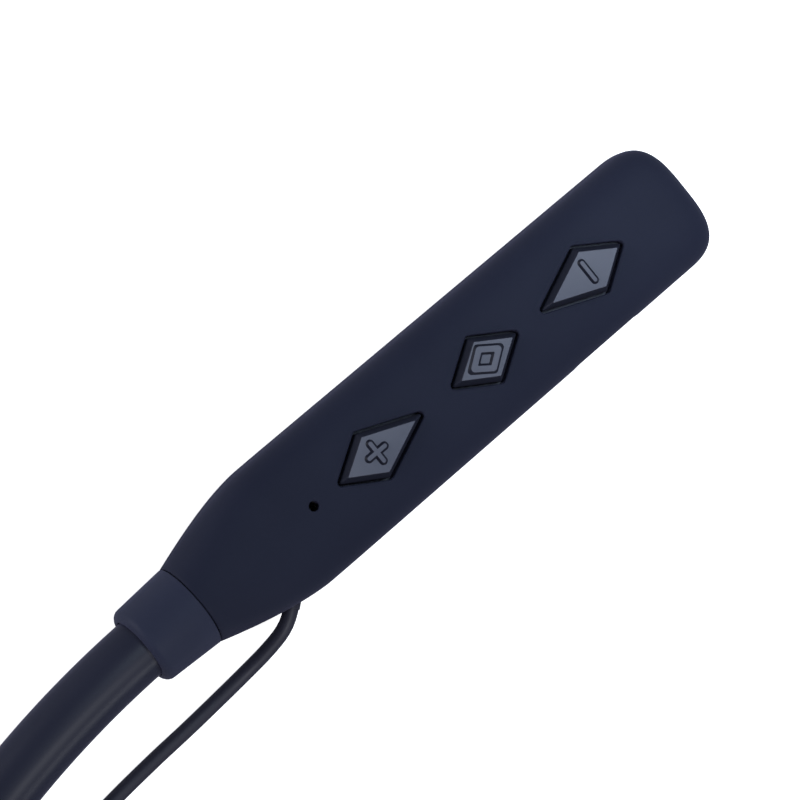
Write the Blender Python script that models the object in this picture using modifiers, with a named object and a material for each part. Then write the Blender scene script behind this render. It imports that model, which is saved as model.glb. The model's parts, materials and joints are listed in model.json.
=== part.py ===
"""Neckband earphones, in metres, +Z up. The band lies flat on a table: the two pods point along -Y,
the neck arc closes the U at +Y, and the pod with the buttons is at +X. The origin is under the
middle of the band, on the table.

A place on a pod is given as s, n, z in millimetres: s runs from the collar seam towards the pod's
tip, n from the pod's axis towards the inside of the U, and z up from the table."""

from math import asin, cos, pi, radians, sin

import bmesh
import bpy
from mathutils import Matrix, Vector

MM = 0.001
GAP = 0.3

# Band
POD_X = 70.0
ARC_DEPTH = 95.0
ARC_START_S = -5.3
SLEEVE_R = 3.8
SLEEVE_BORE_R = 2.55
WIRE_R = 0.6
WIRE_OUT = 1.2
HARNESS_R = 0.7
HARNESS_OUT = -1.1
FLEX_S = -52.0
FLEX_GAP = 1.3
NECK_Z = SLEEVE_R + 0.05

# Pod
POD_LENGTH = 77.2
POD_Z = 5.45
SEAM_R = 5.44
SHOULDER_S = 14.3
POD_W = 8.4
TAPER_S = 17.8
TIP_S = 71.2
TIP_W = 7.98
TIP_POWER = 3.0
TOP_H = 5.2
TIP_TOP_H = 4.9
BOTTOM_H = 5.6
WALL = 1.2
COLLAR_LENGTH = 7.95
COLLAR_END_R = 5.05

# Buttons: each opening is a kite along s, given by its two ends and its widest place
OPENING_HALF_W = 3.55
BUTTONS = {
    "plus": (21.0, 26.85, 35.5, 27.2),
    "function": (38.8, 44.5, 50.1, 44.5),
    "minus": (52.5, 61.2, 66.65, 64.0),
}
BUTTON_TOP_Z = 11.5

# Inside the pods
BOARD_Z = (2.6, 3.6)
ON_BOARD_Z = BOARD_Z[1] + GAP
MIC_S = 17.6
PORT_S = 57.9
FLAP_LENGTH = 10.0
FLAP_HEIGHT = 4.6
FLAP_DEPTH = 1.2
FLAP_SINK = 0.15

# Leads and earbuds
LEAD_R = 0.92
GLAND_R = 1.2
GLAND_LENGTH = 3.4
LEAD_EXIT = (9.0, 8.2, 4.3)
LEAD_OUT = Vector((-0.75, 0.66, 0.0)).normalized()
LEAD_ROUTE = [
    LEAD_EXIT,
    (7.0, 9.4, 3.7),
    (4.3, 10.1, 2.6),
    (1.0, 10.55, 1.45),
    (-3.2, 10.9, 0.97),
    (-8.5, 11.2, 0.97),
    (-14.5, 11.45, 0.97),
    (-21.5, 11.95, 0.97),
    (-29.0, 12.9, 0.97),
    (-37.0, 15.0, 0.97),
    (-45.0, 17.8, 0.97),
    (-52.5, 21.8, 0.97),
    (-57.0, 27.0, 0.97),
    (-55.8, 33.6, 0.97),
    (-49.5, 36.6, 0.97),
    (-41.0, 35.8, 0.97),
    (-32.0, 34.3, 0.97),
    (-23.0, 33.8, 0.97),
    (-15.8, 35.8, 0.97),
    (-11.9, 39.5, 0.97),
    (-11.9, 44.5, 0.97),
    (-15.8, 48.2, 0.97),
    (-23.5, 49.2, 0.97),
    (-32.0, 48.0, 0.97),
    (-41.0, 47.6, 0.97),
    (-49.5, 48.8, 0.97),
    (-55.5, 51.8, 0.97),
    (-58.0, 56.5, 0.97),
    (-56.0, 61.0, 0.97),
    (-50.5, 63.2, 0.97),
    (-43.5, 62.9, 0.97),
    (-36.0, 62.0, 0.97),
    (-29.0, 61.1, 1.6),
    (-22.0, 60.4, 4.0),
    (-14.3, 60.2, 6.1),
]
LEAD_STEP = 4.2
BUD_PLACE = (0.0, 58.0, 6.1)
BOOT_REACH = (6.3, 14.0)
BOOT_BACK = 2.2

SIDES = {"left": 1, "right": -1}

# The band runs from the pods' tips to the back of the arc, and the origin is at its middle.
SEAM_Y = (POD_LENGTH + ARC_START_S - ARC_DEPTH - SLEEVE_R) / 2
ARC_Y = SEAM_Y - ARC_START_S
FLEX_ANGLE = asin((ARC_START_S - FLEX_S) / ARC_DEPTH)


def at(side, s, n, z):
    """The place in the row's frame, in metres, of a place on the pod of this side."""
    return Vector((SIDES[side] * (POD_X - n), SEAM_Y - s, z)) * MM


def smooth(t):
    t = min(max(t, 0.0), 1.0)
    return t * t * (3 - 2 * t)


def mixed(a, b, t):
    return a + (b - a) * t


# Scene, materials and object helpers


def clear_scene():
    for obj in list(bpy.data.objects):
        bpy.data.objects.remove(obj, do_unlink=True)


def collection(name):
    made = bpy.data.collections.new(name)
    bpy.context.scene.collection.children.link(made)
    return made


def material(name, color, roughness, metallic=0.0):
    made = bpy.data.materials.new(name)
    made.use_nodes = True
    shader = made.node_tree.nodes["Principled BSDF"]
    shader.inputs["Base Color"].default_value = (*color, 1)
    shader.inputs["Roughness"].default_value = roughness
    shader.inputs["Metallic"].default_value = metallic
    return made


def add(name, data, look, matrix=None):
    obj = bpy.data.objects.new(name, data)
    if look is None:
        CUTTERS.objects.link(obj)
        obj.hide_render = True
        obj.display_type = "WIRE"
    else:
        PARTS.objects.link(obj)
        data.materials.append(MATERIALS[look])
    if matrix:
        obj.matrix_world = matrix
    return obj


def as_mesh(source):
    """The object's evaluated mesh in world space, with the caps of a curve welded on."""
    bpy.context.view_layer.update()
    evaluated = source.evaluated_get(bpy.context.evaluated_depsgraph_get())
    mesh = bpy.data.meshes.new_from_object(evaluated)
    mesh.transform(source.matrix_world)
    bpy.data.objects.remove(source, do_unlink=True)
    form = bmesh.new()
    form.from_mesh(mesh)
    bmesh.ops.remove_doubles(form, verts=form.verts, dist=0.000001)
    bmesh.ops.recalc_face_normals(form, faces=form.faces)
    form.to_mesh(mesh)
    form.free()
    mesh.materials.clear()
    return mesh


def block(name, look, side, low, high, round_by=0.0):
    """A box between two places on the pod, low and high being its (s, n, z) corners."""
    form = bmesh.new()
    bmesh.ops.create_cube(form, size=1.0)
    size = (high[1] - low[1], high[0] - low[0], high[2] - low[2])
    bmesh.ops.scale(form, vec=Vector(size) * MM, verts=form.verts)
    mesh = bpy.data.meshes.new(name)
    form.to_mesh(mesh)
    form.free()
    middle = [(a + b) / 2 for a, b in zip(low, high)]
    obj = add(name, mesh, look, Matrix.Translation(at(side, *middle)))
    if round_by:
        bevel = obj.modifiers.new("round", "BEVEL")
        bevel.width = round_by * MM
        bevel.segments = 2
    return obj


def outline_prism(name, look, side, outline, low_z, high_z):
    """A flat outline of (s, n) corners, extruded from low_z to high_z."""
    curve = bpy.data.curves.new(name, "CURVE")
    curve.dimensions = "2D"
    curve.fill_mode = "BOTH"
    curve.extrude = (high_z - low_z) / 2 * MM
    spline = curve.splines.new("POLY")
    spline.points.add(len(outline) - 1)
    for point, (s, n) in zip(spline.points, outline):
        point.co = (*at(side, s, n, 0).xy, 0, 1)
    spline.use_cyclic_u = True
    height = Matrix.Translation((0, 0, (low_z + high_z) / 2 * MM))
    return add(name, as_mesh(add(name, curve, None, height)), look)


def turned(name, look, profile, steps, matrix, ring=False):
    """A profile of (radius, height) points turned about the local Z axis."""
    mesh = bpy.data.meshes.new(name)
    edges = [(i, i + 1) for i in range(len(profile) - 1)]
    if ring:
        edges.append((len(profile) - 1, 0))
    mesh.from_pydata([(r * MM, 0, z * MM) for r, z in profile], edges, [])
    obj = add(name, mesh, look, matrix)
    screw = obj.modifiers.new("turn", "SCREW")
    screw.steps = steps
    screw.render_steps = steps
    screw.use_merge_vertices = True
    screw.merge_threshold = 0.00001
    screw.use_smooth_shade = True
    return obj


def rod(name, look, start, end, radius, steps=16):
    """A round bar between two places in the row's frame."""
    along = end - start
    matrix = along.to_track_quat("Z", "Y").to_matrix().to_4x4()
    matrix.translation = start
    length = along.length / MM
    profile = [(0, length), (radius, length), (radius, 0), (0, 0)]
    return turned(name, look, profile, steps, matrix)


def wire_curve(name, look, points, radius, resolution=2, caps=True):
    curve = bpy.data.curves.new(name, "CURVE")
    curve.dimensions = "3D"
    curve.bevel_depth = radius * MM
    curve.bevel_resolution = resolution
    curve.use_fill_caps = caps
    spline = curve.splines.new("POLY")
    spline.points.add(len(points) - 1)
    for point, place in zip(spline.points, points):
        point.co = (*place, 1)
    spline.use_smooth = True
    return add(name, curve, look)


def hollow_tube(name, look, points, radius, bore_radius):
    mesh = as_mesh(wire_curve(name, None, points, radius, 4, caps=False))
    obj = add(name, mesh, look)
    wall = obj.modifiers.new("wall", "SOLIDIFY")
    wall.thickness = (radius - bore_radius) * MM
    wall.offset = -1
    mesh.shade_smooth()
    mesh.set_sharp_from_angle(angle=radians(40))
    return obj


def lofted(name, look, rings, capped=True):
    """A skin over rings of equally many points, each ring a list of places in the row's frame."""
    form = bmesh.new()
    rows = [[form.verts.new(place) for place in ring] for ring in rings]
    count = len(rows[0])
    last = count if capped else count - 1
    for low, high in zip(rows, rows[1:]):
        for i in range(last):
            j = (i + 1) % count
            form.faces.new((low[i], low[j], high[j], high[i]))
    form.faces.new(rows[-1])
    if capped:
        form.faces.new(rows[0])
    bmesh.ops.recalc_face_normals(form, faces=form.faces)
    mesh = bpy.data.meshes.new(name)
    form.to_mesh(mesh)
    form.free()
    return add(name, mesh, look)


def boolean(obj, tool, operation="DIFFERENCE"):
    change = obj.modifiers.new(tool.name, "BOOLEAN")
    change.object = tool
    change.operation = operation
    change.solver = "EXACT"


# The neck band: an arc of half an ellipse, and a straight start inside each collar


def band_point(angle, out=0.0):
    """A place on the band's centre line, or this far outside it. Past the ends it runs straight."""
    turn = min(max(angle, 0.0), pi)
    beyond = ARC_DEPTH * (angle if angle < 0 else pi - angle if angle > pi else 0.0)
    x = POD_X * cos(turn)
    y = ARC_Y + ARC_DEPTH * sin(turn) + beyond
    normal = Vector((ARC_DEPTH * cos(turn), POD_X * sin(turn))).normalized()
    fall = smooth(min(turn, pi - turn) / FLEX_ANGLE)
    z = mixed(POD_Z, NECK_Z, fall)
    return Vector((x + out * normal.x, y + out * normal.y, z)) * MM


def band_points(start, end, out, count):
    return [band_point(mixed(start, end, i / count), out) for i in range(count + 1)]


def flex_half_gap():
    """The angle along the arc that half of the flex joint's gap takes."""
    across = Vector((POD_X * sin(FLEX_ANGLE), ARC_DEPTH * cos(FLEX_ANGLE)))
    return FLEX_GAP / 2 / across.length


def band_stretches():
    """For each stretch of the band, its name, its two angles, and whether a pod holds its start."""
    near = FLEX_ANGLE - flex_half_gap()
    far = FLEX_ANGLE + flex_half_gap()
    return [
        ("left", 0.0, near, 8),
        ("neck", far, pi - far, 18),
        ("right", pi, pi - near, 8),
    ]


def into_pod(points, side, reach_s):
    """The points, led by one on the straight stretch at reach_s."""
    first = points[0].copy()
    first.y = (SEAM_Y - reach_s) * MM
    return [first] + points


def make_band():
    layers = [
        ("sleeve", "silicone", 0.0, -1.0),
        ("core_wire", "steel", WIRE_OUT, 6.0),
        ("harness", "cable", HARNESS_OUT, 11.5),
    ]
    for layer, look, out, reach_s in layers:
        for stretch, start, end, count in band_stretches():
            name = f"{layer}_{stretch}"
            points = band_points(start, end, out, count)
            if stretch in SIDES:
                points = into_pod(points, stretch, reach_s)
            if layer == "sleeve":
                hollow_tube(name, look, points, SLEEVE_R, SLEEVE_BORE_R)
            else:
                radius = WIRE_R if layer == "core_wire" else HARNESS_R
                wire_curve(name, look, points, radius)


# Pods


def half_width(s):
    if s <= SHOULDER_S:
        return mixed(SEAM_R, POD_W, 1 - (1 - s / SHOULDER_S) ** 1.55)
    return mixed(POD_W, TIP_W, max(s - TAPER_S, 0) / (TIP_S - TAPER_S))


def heights(s):
    """How far the pod reaches above and below its parting plane."""
    opening = smooth(s / SHOULDER_S)
    top = mixed(SEAM_R, TOP_H, opening) + (TIP_TOP_H - TOP_H) * max(s - SHOULDER_S, 0) / (
        TIP_S - SHOULDER_S
    )
    return top, mixed(SEAM_R, BOTTOM_H, opening)


def pod_section(side, s, up, shrink=1.0):
    """Half of the pod's outline at s, above (up = 1) or below (up = -1) the parting plane."""
    wide = half_width(min(s, TIP_S)) * shrink
    tall = heights(min(s, TIP_S))[0 if up > 0 else 1] * shrink
    power = mixed(2.0, 3.4, smooth(s / SHOULDER_S))
    points = []
    for i in range(13):
        turn = pi * i / 12
        across = abs(cos(turn)) ** (2 / power) * (1 if turn < pi / 2 else -1)
        rise = abs(sin(turn)) ** (2 / power)
        z = POD_Z + up * (GAP / 2 + rise * (tall - GAP / 2))
        points.append(at(side, s, wide * across, max(z, 0.0)))
    return points


def pod_shell(side, which, up):
    stations = [(s, 1.0) for s in (0, 1.8, 4.5, 7.1, 10.7, SHOULDER_S, 28, 43, 57, TIP_S)]
    for turn in (28, 50, 68, 82):
        t = sin(radians(turn))
        s = TIP_S + (POD_LENGTH - TIP_S) * t
        stations.append((s, (1 - t**TIP_POWER) ** (1 / TIP_POWER)))
    stations.append((POD_LENGTH, 0.2))
    rings = [pod_section(side, s, up, shrink) for s, shrink in stations]
    shell = lofted(f"{side}_{which}_shell", "shell", rings, capped=False)
    outward = shell.data.polygons[len(shell.data.polygons) // 2 - 6]
    if (outward.normal.z > 0) != (up > 0):
        shell.data.flip_normals()
    wall = shell.modifiers.new("wall", "SOLIDIFY")
    wall.thickness = WALL * MM
    wall.offset = -1
    shell.data.shade_smooth()
    shell.data.set_sharp_from_angle(angle=radians(35))
    return shell


def make_collar(side):
    matrix = Matrix.Translation(at(side, 0, 0, POD_Z)) @ Matrix.Rotation(radians(-90), 4, "X")
    bore = SLEEVE_R + GAP
    profile = [
        (COLLAR_END_R - 0.8, COLLAR_LENGTH),
        (COLLAR_END_R - 0.2, COLLAR_LENGTH - 0.3),
        (COLLAR_END_R, COLLAR_LENGTH - 0.9),
        (SEAM_R, GAP),
        (bore, GAP),
        (bore, COLLAR_LENGTH),
    ]
    turned(f"{side}_collar", "shell", profile, 24, matrix, ring=True)


def make_ferrule(side):
    matrix = Matrix.Translation(at(side, 1.0, -WIRE_OUT, POD_Z))
    matrix = matrix @ Matrix.Rotation(radians(90), 4, "X")
    profile = [(1.25, 4.5), (1.25, 0.0), (0.9, 0.0), (0.9, 4.5)]
    turned(f"{side}_wire_ferrule", "steel", profile, 12, matrix, ring=True)


def make_grommet(side, shells):
    """The gland that the lead leaves by, and the notch that it takes out of both shells."""
    outer = at(side, *LEAD_EXIT)
    inward = at(side, *(Vector(LEAD_EXIT) - LEAD_OUT)) - outer
    inward.normalize()
    start = outer + inward * GAP * MM
    rod(f"{side}_lead_gland", "cable", start, outer + inward * GLAND_LENGTH * MM, GLAND_R)
    notch_start = outer - inward * 2 * MM
    notch_end = outer + inward * (GLAND_LENGTH + 1) * MM
    notch = rod(f"{side}_notch", None, notch_start, notch_end, GLAND_R + GAP)
    for shell in shells:
        boolean(shell, notch)


# Buttons


def kite(rear, widest, front, half_w, grow=0.0):
    """The four (s, n) corners of a kite, moved out along its diagonals."""
    return [
        (rear - grow, 0),
        (widest, half_w + grow * 0.6),
        (front + grow, 0),
        (widest, -half_w - grow * 0.6),
    ]


def make_button(name, upper_shell):
    rear, widest, front, stem_s = BUTTONS[name]
    opening = kite(rear, widest, front, OPENING_HALF_W)
    cutter = outline_prism(f"{name}_opening", None, "left", opening, 7.0, 12.0)
    boolean(upper_shell, cutter)
    stem = kite(stem_s - 0.9, stem_s, stem_s + 0.9, 0.9)
    flange = kite(rear, widest, front, OPENING_HALF_W, 0.7)
    body = kite(rear, widest, front, OPENING_HALF_W, -0.45)
    top = kite(rear, widest, front, OPENING_HALF_W, -1.3)
    levels = [
        (stem, 6.2),
        (stem, 7.9),
        (flange, 7.9),
        (flange, 8.6),
        (body, 8.6),
        (body, 10.3),
        (top, BUTTON_TOP_Z),
    ]
    rings = [[at("left", s, n, z) for s, n in outline] for outline, z in levels]
    lofted(f"{name}_button", "button", rings)


def make_switch(name):
    """The tactile switch under a button: its can, and the plunger that goes down with the button."""
    s = BUTTONS[name][3]
    can = block(f"{name}_switch", "steel", "left", (s - 1.5, -1.5, ON_BOARD_Z), (s + 1.5, 1.5, 5.4))
    well = rod(f"{name}_well", None, at("left", s, 0, 4.3), at("left", s, 0, 6.0), 1.15, 12)
    boolean(can, well)
    rod(f"{name}_plunger", "black", at("left", s, 0, 4.9), at("left", s, 0, 5.9), 0.85, 12)


# Control pod


def make_board():
    low, high = BOARD_Z
    outline = [(13, -4.5), (16, -5.5), (68, -5.5), (71, -4), (71, 4), (68, 5.5), (16, 5.5), (13, 4.5)]
    outline_prism("main_board", "board", "left", outline, low, high)
    block("bluetooth_chip", "black", "left", (33, -2.6, ON_BOARD_Z), (38.2, 2.6, 4.8))
    block("microphone", "steel", "left", (MIC_S - 1.4, -1.2, ON_BOARD_Z), (MIC_S + 1.4, 1.2, 4.9))


def make_mic_path(upper_shell):
    """The sound hole in the shell and the rubber gasket that leads from it to the microphone."""
    hole = rod("mic_hole", None, at("left", MIC_S, 0, 8), at("left", MIC_S, 0, 12), 0.6, 12)
    boolean(upper_shell, hole)
    matrix = Matrix.Translation(at("left", MIC_S, 0, 0))
    profile = [(1.3, 9.1), (1.3, 5.2), (0.6, 5.2), (0.6, 9.1)]
    turned("mic_gasket", "black", profile, 12, matrix, ring=True)


def make_port(shells):
    """The charging socket on the pod's inner side, and its rubber flap, hinged nearer the neck."""
    face_n = half_width(PORT_S) - FLAP_SINK
    inner = face_n - FLAP_DEPTH
    rear = PORT_S - FLAP_LENGTH / 2
    front = PORT_S + FLAP_LENGTH / 2
    low_z = POD_Z - FLAP_HEIGHT / 2
    high_z = POD_Z + FLAP_HEIGHT / 2
    window = block(
        "port_window",
        None,
        "left",
        (rear - 0.4, inner - 1.0, low_z - GAP),
        (front + GAP, face_n + 2, high_z + GAP),
    )
    for shell in shells:
        boolean(shell, window)
    flap = block(
        "port_cover", "silicone", "left", (rear, inner, low_z), (front, face_n, high_z), 0.3
    )
    plug = block(
        "port_plug",
        None,
        "left",
        (rear + 1.6, inner - 0.7, POD_Z - 0.8),
        (front - 1.6, inner + 0.2, POD_Z + 0.8),
    )
    boolean(flap, plug, "UNION")
    mouth = inner - 0.7 - GAP
    socket = block(
        "usb_socket", "steel", "left", (PORT_S - 3.75, mouth - 5, 3.9), (PORT_S + 3.75, mouth, 7.0)
    )
    hollow = block(
        "socket_hollow",
        None,
        "left",
        (PORT_S - 3.35, mouth - 4, 4.3),
        (PORT_S + 3.35, mouth + 1, 6.6),
    )
    tongue = block(
        "socket_tongue",
        None,
        "left",
        (PORT_S - 2.4, mouth - 4.5, 5.5),
        (PORT_S + 2.4, mouth - 0.6, 6.1),
    )
    boolean(socket, hollow)
    boolean(socket, tongue, "UNION")


# Battery pod


def make_battery():
    block("battery", "battery", "right", (14, -5.0, 2.5), (61, 5.0, 8.2), 0.9)
    block("battery_pad", "black", "right", (18, -4.0, 1.55), (56, 4.0, 2.2))
    block("protection_board", "board", "right", (63, -4.0, 4.6), (70, 4.0, 5.4))


# Leads and earbuds


def curve_through(route, step):
    """Points about this far apart on a smooth curve through the route's places."""
    places = [Vector(place) for place in route]
    ends = [2 * places[0] - places[1], *places, 2 * places[-1] - places[-2]]
    found = [places[0]]
    for before, start, end, after in zip(ends, ends[1:], ends[2:], ends[3:]):
        count = max(1, round((end - start).length / step))
        for i in range(1, count + 1):
            t = i / count
            bend = (2 * before - 5 * start + 4 * end - after) * t * t
            twist = (3 * start - before - 3 * end + after) * t**3
            found.append((2 * start + (end - before) * t + bend + twist) / 2)
    return found


def make_lead(side):
    points = [at(side, *place) for place in curve_through(LEAD_ROUTE, LEAD_STEP)]
    wire_curve(f"{side}_lead", "cable", points, LEAD_R)


def make_earbud(side):
    """An in-ear bud on its side: its local Z axis is the nozzle's, and +Y leads to the cable."""
    matrix = Matrix.Translation(at(side, *BUD_PLACE))
    matrix = matrix @ Matrix.Rotation(radians(90 * SIDES[side]), 4, "Y")
    front = [
        (2.5, 9.0),
        (2.5, 4.5),
        (4.2, 3.4),
        (5.5, 2.0),
        (6.0, 0.3),
        (5.0, 0.3),
        (4.6, 1.5),
        (3.4, 2.6),
        (1.6, 3.8),
        (1.6, 9.0),
    ]
    turned(f"{side}_bud_front", "bud", front, 20, matrix, ring=True)
    rear = [
        (0, -4.0),
        (3.6, -4.0),
        (4.6, -3.3),
        (5.0, -2.3),
        (5.0, 0.0),
        (6.0, 0.0),
        (6.0, -2.5),
        (5.4, -4.2),
        (4.0, -5.0),
        (0, -5.0),
    ]
    turned(f"{side}_bud_rear", "bud", rear, 20, matrix)
    driver = [(0, 0.2), (4.5, 0.2), (4.5, -1.3), (0, -1.3)]
    turned(f"{side}_driver", "steel", driver, 16, matrix)
    magnet = [(0, -1.7), (2.8, -1.7), (2.8, -3.5), (0, -3.5)]
    turned(f"{side}_magnet", "steel", magnet, 16, matrix)
    mesh = [(0, 8.6), (1.3, 8.6), (1.3, 8.2), (0, 8.2)]
    turned(f"{side}_bud_mesh", "steel", mesh, 12, matrix)
    tip = [
        (2.8, 10.2),
        (3.9, 10.0),
        (5.1, 8.6),
        (5.8, 6.8),
        (6.0, 4.8),
        (5.4, 4.8),
        (5.2, 6.6),
        (4.4, 8.1),
        (3.6, 8.6),
        (3.6, 5.0),
        (2.8, 5.0),
    ]
    turned(f"{side}_ear_tip", "ear_tip", tip, 20, matrix, ring=True)
    start, end = BOOT_REACH
    s, n, z = BUD_PLACE
    base = at(side, s, n + BOOT_BACK, z)
    base_turn = Matrix.Translation(base) @ Matrix.Rotation(radians(-90), 4, "X")
    boot = [(0, end - GAP), (1.25, end - GAP), (1.5, 10.0), (1.9, start), (0, start)]
    turned(f"{side}_boot", "cable", boot, 12, base_turn)


def main():
    make_band()
    for side in SIDES:
        shells = [pod_shell(side, "upper", 1), pod_shell(side, "lower", -1)]
        make_collar(side)
        make_ferrule(side)
        make_grommet(side, shells)
        make_lead(side)
        make_earbud(side)
        if side == "right":
            make_battery()
            continue
        for name in BUTTONS:
            make_button(name, shells[0])
            make_switch(name)
        make_board()
        make_mic_path(shells[0])
        make_port(shells)


clear_scene()
PARTS = collection("neckband_earphones")
CUTTERS = collection("cutters")
MATERIALS = {
    "shell": material("shell", (0.018, 0.021, 0.036), 0.5),
    "silicone": material("silicone", (0.045, 0.05, 0.08), 0.6),
    "button": material("button", (0.12, 0.12, 0.18), 0.5),
    "cable": material("cable", (0.035, 0.037, 0.06), 0.55),
    "bud": material("bud", (0.02, 0.022, 0.035), 0.35),
    "ear_tip": material("ear_tip", (0.03, 0.032, 0.045), 0.6),
    "steel": material("steel", (0.6, 0.6, 0.6), 0.35, 1.0),
    "board": material("board", (0.02, 0.12, 0.05), 0.5),
    "black": material("black", (0.02, 0.02, 0.02), 0.5),
    "battery": material("battery", (0.55, 0.57, 0.6), 0.4, 0.3),
}
main()
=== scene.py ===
"""Visual model of the neckband earphones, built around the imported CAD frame.

A place on a pod is given as s, n, z in millimetres: s runs from the collar seam towards the pod's
tip, n from the pod's axis towards the inside of the U, and z up from the table."""

import json
from math import asin, atan2, cos, pi, radians, sin, tan

import bmesh
import bpy
from mathutils import Matrix, Vector


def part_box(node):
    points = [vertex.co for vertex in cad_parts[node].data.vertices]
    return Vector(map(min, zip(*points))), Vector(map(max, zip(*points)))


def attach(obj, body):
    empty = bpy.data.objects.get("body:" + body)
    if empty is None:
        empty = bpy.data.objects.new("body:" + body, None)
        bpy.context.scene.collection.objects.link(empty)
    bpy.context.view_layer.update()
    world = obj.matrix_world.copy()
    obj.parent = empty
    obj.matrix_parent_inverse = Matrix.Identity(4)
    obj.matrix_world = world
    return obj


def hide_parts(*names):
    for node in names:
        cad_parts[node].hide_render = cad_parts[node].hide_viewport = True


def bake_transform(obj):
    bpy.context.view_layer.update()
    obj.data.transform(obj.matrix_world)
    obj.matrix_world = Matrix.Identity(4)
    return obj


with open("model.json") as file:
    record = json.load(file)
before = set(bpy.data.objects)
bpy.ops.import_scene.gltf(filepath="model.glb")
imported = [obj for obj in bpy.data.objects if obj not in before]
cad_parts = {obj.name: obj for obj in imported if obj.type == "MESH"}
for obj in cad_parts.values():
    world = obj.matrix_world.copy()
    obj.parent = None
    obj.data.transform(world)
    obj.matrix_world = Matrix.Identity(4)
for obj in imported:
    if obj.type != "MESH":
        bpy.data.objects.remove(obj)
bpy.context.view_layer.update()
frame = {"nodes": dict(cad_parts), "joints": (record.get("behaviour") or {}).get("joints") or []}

MM = 0.001
SIDES = {"left": 1, "right": -1}

# Places taken from the frame
POD_LOW, POD_HIGH = (corner / MM for corner in map(Vector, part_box("left_lower_shell")))
JOINTS = {joint["name"]: joint for joint in frame["joints"]}
FLEX = Vector(JOINTS["left_flex"]["pos_m"]) / MM
POD_X = (POD_LOW.x + POD_HIGH.x) / 2
SEAM_Y = POD_HIGH.y
POD_LENGTH = POD_HIGH.y - POD_LOW.y
POD_Z = (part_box("left_collar")[0][2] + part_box("left_collar")[1][2]) / 2 / MM
NECK_Z = FLEX.z

# Band
SLEEVE_R = 3.8
SLEEVE_BORE_R = 2.55
WIRE_R = 0.6
WIRE_OUT = 1.2
HARNESS_R = 0.7
HARNESS_OUT = -1.1
ARC_START_S = -5.3
ARC_DEPTH = 95.0
ARC_Y = SEAM_Y - ARC_START_S
FLEX_ANGLE = asin((FLEX.y - ARC_Y) / ARC_DEPTH)

# Pod
SEAM_R = 5.44
SHOULDER_S = 14.3
POD_W = 8.4
TAPER_S = 17.8
TIP_S = 71.2
TIP_W = 7.98
TIP_POWER = 3.0
TOP_H = 5.2
TIP_TOP_H = 4.9
BOTTOM_H = 5.6
WALL = 1.2
PARTING_GAP = 0.08
SEAM_GAP = 0.12
COLLAR_LENGTH = 7.95
COLLAR_END_R = 5.05
SPIGOT_R = 4.15
SPIGOT_BORE_R = 3.4
SPIGOT_LENGTH = 1.5
BAND_SEAT = 0.8

# Buttons: each opening is a kite along s, given by its two ends and its widest place
OPENING_HALF_W = 3.55
OPENINGS = {
    "plus": (21.0, 26.85, 35.5),
    "function": (38.8, 44.5, 50.1),
    "minus": (52.5, 61.2, 66.65),
}
BUTTON_TOP_Z = 11.5
# A cap's flange reaches under the shell, and its sides lean in to the top
FLANGE_REACH = 0.7
FLANGE_LOW_Z = 7.9
FLANGE_TOP_Z = 8.6
CAP_GAP = 0.28
CAP_INSET = 0.82
CAP_EDGE_R = 0.1
# Faces of a cap or mark whose normals point up less than this are sides, painted darker as shade
UPWARD = 0.92
MARK_N = -0.12
# How far in from a mark's outline, and how high: its foot, its slope and its rounded top
MARK_LEVELS = [(-0.25, -0.1), (-0.25, 0.0), (-0.02, 0.25), (0.02, 0.28), (0.08, 0.295)]
# The rolled edge of an opening: its radius, and how its wall, painted near-black as shade, and its small
# rolled faces, painted lighter as a highlight, are told apart
RIM = 0.2
WALL_NORMAL_Z = 0.6
ROLLED_FACE_AREA = 1e-7
MIC_S = 17.6
MIC_R = 0.62
MIC_RIM_R = 0.9
PORT_S = 57.9
FLAP_LENGTH = 10.0
FLAP_HEIGHT = 4.6
FLAP_CORNER_R = 0.9
FLAP_SINK = 0.15
# How far in from the cover's outline, and how deep: flat, then rolled over at the edge
FLAP_EDGE = [(2.2, 0), (1.6, 0), (1.0, 0), (0.5, 0), (0.25, 0.02), (0.1, 0.07), (0.02, 0.16), (0, 0.3)]

# Leads
LEAD_R = 0.92
LEAD_HOLE_R = 1.15
GROMMET_R = 1.1
GROMMET_FLANGE_R = 1.5
LEAD_START = (11.6, 5.9, 4.6)
LEAD_END = (-12.5, 60.2, 6.1)
LEAD_ROUTE = [
    (9.0, 8.2, 4.3),
    (7.0, 9.4, 3.7),
    (4.3, 10.1, 2.6),
    (1.0, 10.55, 1.45),
    (-3.2, 10.9, 0.97),
    (-8.5, 11.2, 0.97),
    (-14.5, 11.45, 0.97),
    (-21.5, 11.95, 0.97),
    (-29.0, 12.9, 0.97),
    (-37.0, 15.0, 0.97),
    (-45.0, 17.8, 0.97),
    (-52.5, 21.8, 0.97),
    (-57.0, 27.0, 0.97),
    (-55.8, 33.6, 0.97),
    (-49.5, 36.6, 0.97),
    (-41.0, 35.8, 0.97),
    (-32.0, 34.3, 0.97),
    (-23.0, 33.8, 0.97),
    (-15.8, 35.8, 0.97),
    (-11.9, 39.5, 0.97),
    (-11.9, 44.5, 0.97),
    (-15.8, 48.2, 0.97),
    (-23.5, 49.2, 0.97),
    (-32.0, 48.0, 0.97),
    (-41.0, 47.6, 0.97),
    (-49.5, 48.8, 0.97),
    (-55.5, 51.8, 0.97),
    (-58.0, 56.5, 0.97),
    (-56.0, 61.0, 0.97),
    (-50.5, 63.2, 0.97),
    (-43.5, 62.9, 0.97),
    (-36.0, 62.0, 0.97),
    (-29.0, 61.1, 1.6),
    (-22.0, 60.4, 4.0),
    (-14.3, 60.2, 6.1),
]
BUD_PLACE = (0.0, 58.0, 6.1)
BOOT_BACK = 2.2

# Looks
BLOTCH_SCALE = 60.0
GLOSS_SPREAD = 0.06
SHEEN_TINT = (0.5, 0.47, 0.85, 1)
SHARP_ANGLE = 35
CAP_SHARP_ANGLE = 30

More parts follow.
